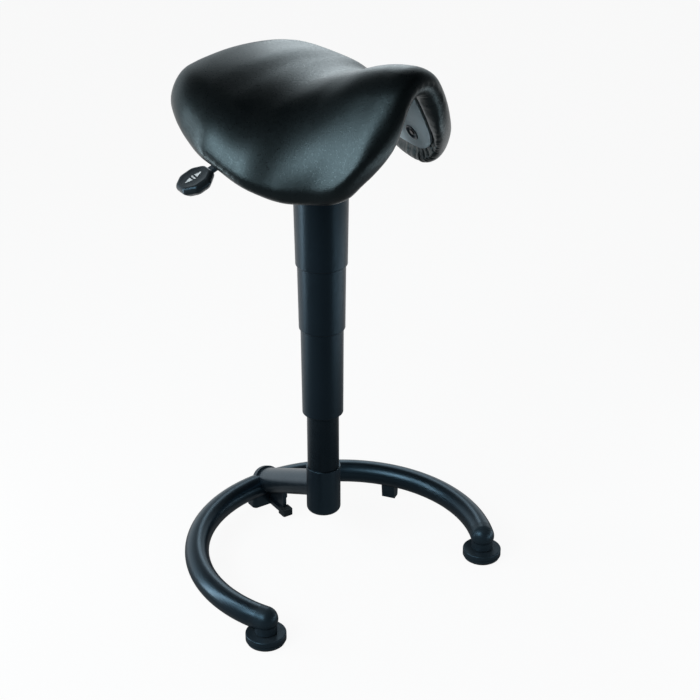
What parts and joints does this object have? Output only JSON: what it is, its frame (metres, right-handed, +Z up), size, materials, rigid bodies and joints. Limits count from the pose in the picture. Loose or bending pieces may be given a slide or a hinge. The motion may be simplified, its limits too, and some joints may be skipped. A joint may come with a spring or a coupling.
{
  "type": "sit-stand stool",
  "caption": "Height-adjustable sit-stand stool: padded saddle seat that swivels on a telescopic gas column, over a C-shaped tube base with tilting glides.",
  "frame": {"origin": "on the floor under the middle of the overall box, 8 mm behind the column axis", "axes": "+Z up along the column, -Y towards the open front of the base, +X to the sitter's left with the seat facing the front"},
  "size_m": [0.494, 0.3962, 0.828],
  "materials": {
    "base_paint": "satin black-grey powder coat",
    "end_plastic": "satin",
    "glide_plastic": "satin",
    "felt": "felt",
    "rubber": "matte",
    "plain_steel": "bright",
    "rod_chrome": "polished",
    "column_paint": "satin black",
    "inner_plastic": "natural",
    "cover_plastic": "satin slate grey",
    "shell_plastic": "fine moulded grain",
    "seat_cover": "fine-grained satin",
    "paddle_plastic": "satin"
  },
  "bodies": {
    "base": {"base_ring": "base_paint", "arm_tube": "base_paint", "arm_end_cap": "end_plastic", "column_socket": "base_paint", "column_tube": "column_paint", "guide_bush": "inner_plastic", "bearing_race_lower": "plain_steel", "rear_stop": "base_paint", "rear_stop_pad": "rubber", "rear_side_foot_left": "end_plastic", "rear_side_foot_right": "end_plastic", "ring_end_cap_left": "end_plastic", "ring_end_cap_right": "end_plastic", "glide_stud_left": "plain_steel", "glide_stud_right": "plain_steel"},
    "rod": {"piston_rod": "rod_chrome", "rod_clip": "plain_steel", "rod_buffer": "rubber", "piston": "inner_plastic", "bearing_race_upper": "plain_steel", "bearing_balls": "plain_steel"},
    "seat": {"pressure_tube": "column_paint", "rod_gland": "inner_plastic", "cover_upper": "cover_plastic", "seat_hub": "column_paint", "seat_plate": "column_paint", "plate_bolts": "plain_steel", "seat_shell": "shell_plastic", "flap_screws": "plain_steel", "seat_cushion": "seat_cover", "lever_pivot_pin": "plain_steel"},
    "lever": {"lever_arm": "column_paint", "lever_paddle": "paddle_plastic"},
    "valve": {"valve_pin": "plain_steel"},
    "cover_middle": {"cover_middle": "cover_plastic"},
    "cover_lower": {"cover_lower": "cover_plastic"},
    "glide_left": {"glide_pad_left": "glide_plastic", "glide_sole_left": "felt"},
    "glide_right": {"glide_pad_right": "glide_plastic", "glide_sole_right": "felt"}
  },
  "joints": [
    {"name": "seat_swivel", "type": "hinge", "parent": "base", "child": "rod", "pos_m": [0, -0.008, 0.106], "axis": [0, 0, 1], "continuous": true},
    {"name": "seat_lift", "type": "slide", "parent": "rod", "child": "seat", "axis": [0, 0, 1], "range_m": [-0.2, 0]},
    {"name": "lever", "type": "hinge", "parent": "seat", "child": "lever", "pos_m": [-0.03992, -0.00545, 0.727], "axis": [0.0637, 0.998, 0], "range_deg": [0, 3], "stiffness_Nm_per_rad": 1.5, "springref_deg": -14.32},
    {"name": "valve_press", "type": "slide", "parent": "seat", "child": "valve", "axis": [0, 0, 1], "range_m": [-0.0021, 0]},
    {"name": "cover_middle_slide", "type": "slide", "parent": "base", "child": "cover_middle", "axis": [0, 0, 1], "range_m": [-0.1334, 0]},
    {"name": "cover_lower_slide", "type": "slide", "parent": "base", "child": "cover_lower", "axis": [0, 0, 1], "range_m": [-0.0667, 0]},
    {"name": "glide_left_tilt", "type": "hinge", "parent": "base", "child": "glide_left", "pos_m": [0.20224, -0.16328, 0.012], "axis": [1, 0, 0], "range_deg": [-5, 5]},
    {"name": "glide_right_tilt", "type": "hinge", "parent": "base", "child": "glide_right", "pos_m": [-0.20224, -0.16328, 0.012], "axis": [1, 0, 0], "range_deg": [-5, 5]}
  ],
  "couplings": [
    {"joint": "valve_press", "follows": "lever", "m_per_rad": -0.04},
    {"joint": "cover_middle_slide", "follows": "seat_lift", "ratio": 0.66667},
    {"joint": "cover_lower_slide", "follows": "seat_lift", "ratio": 0.33333}
  ]
}
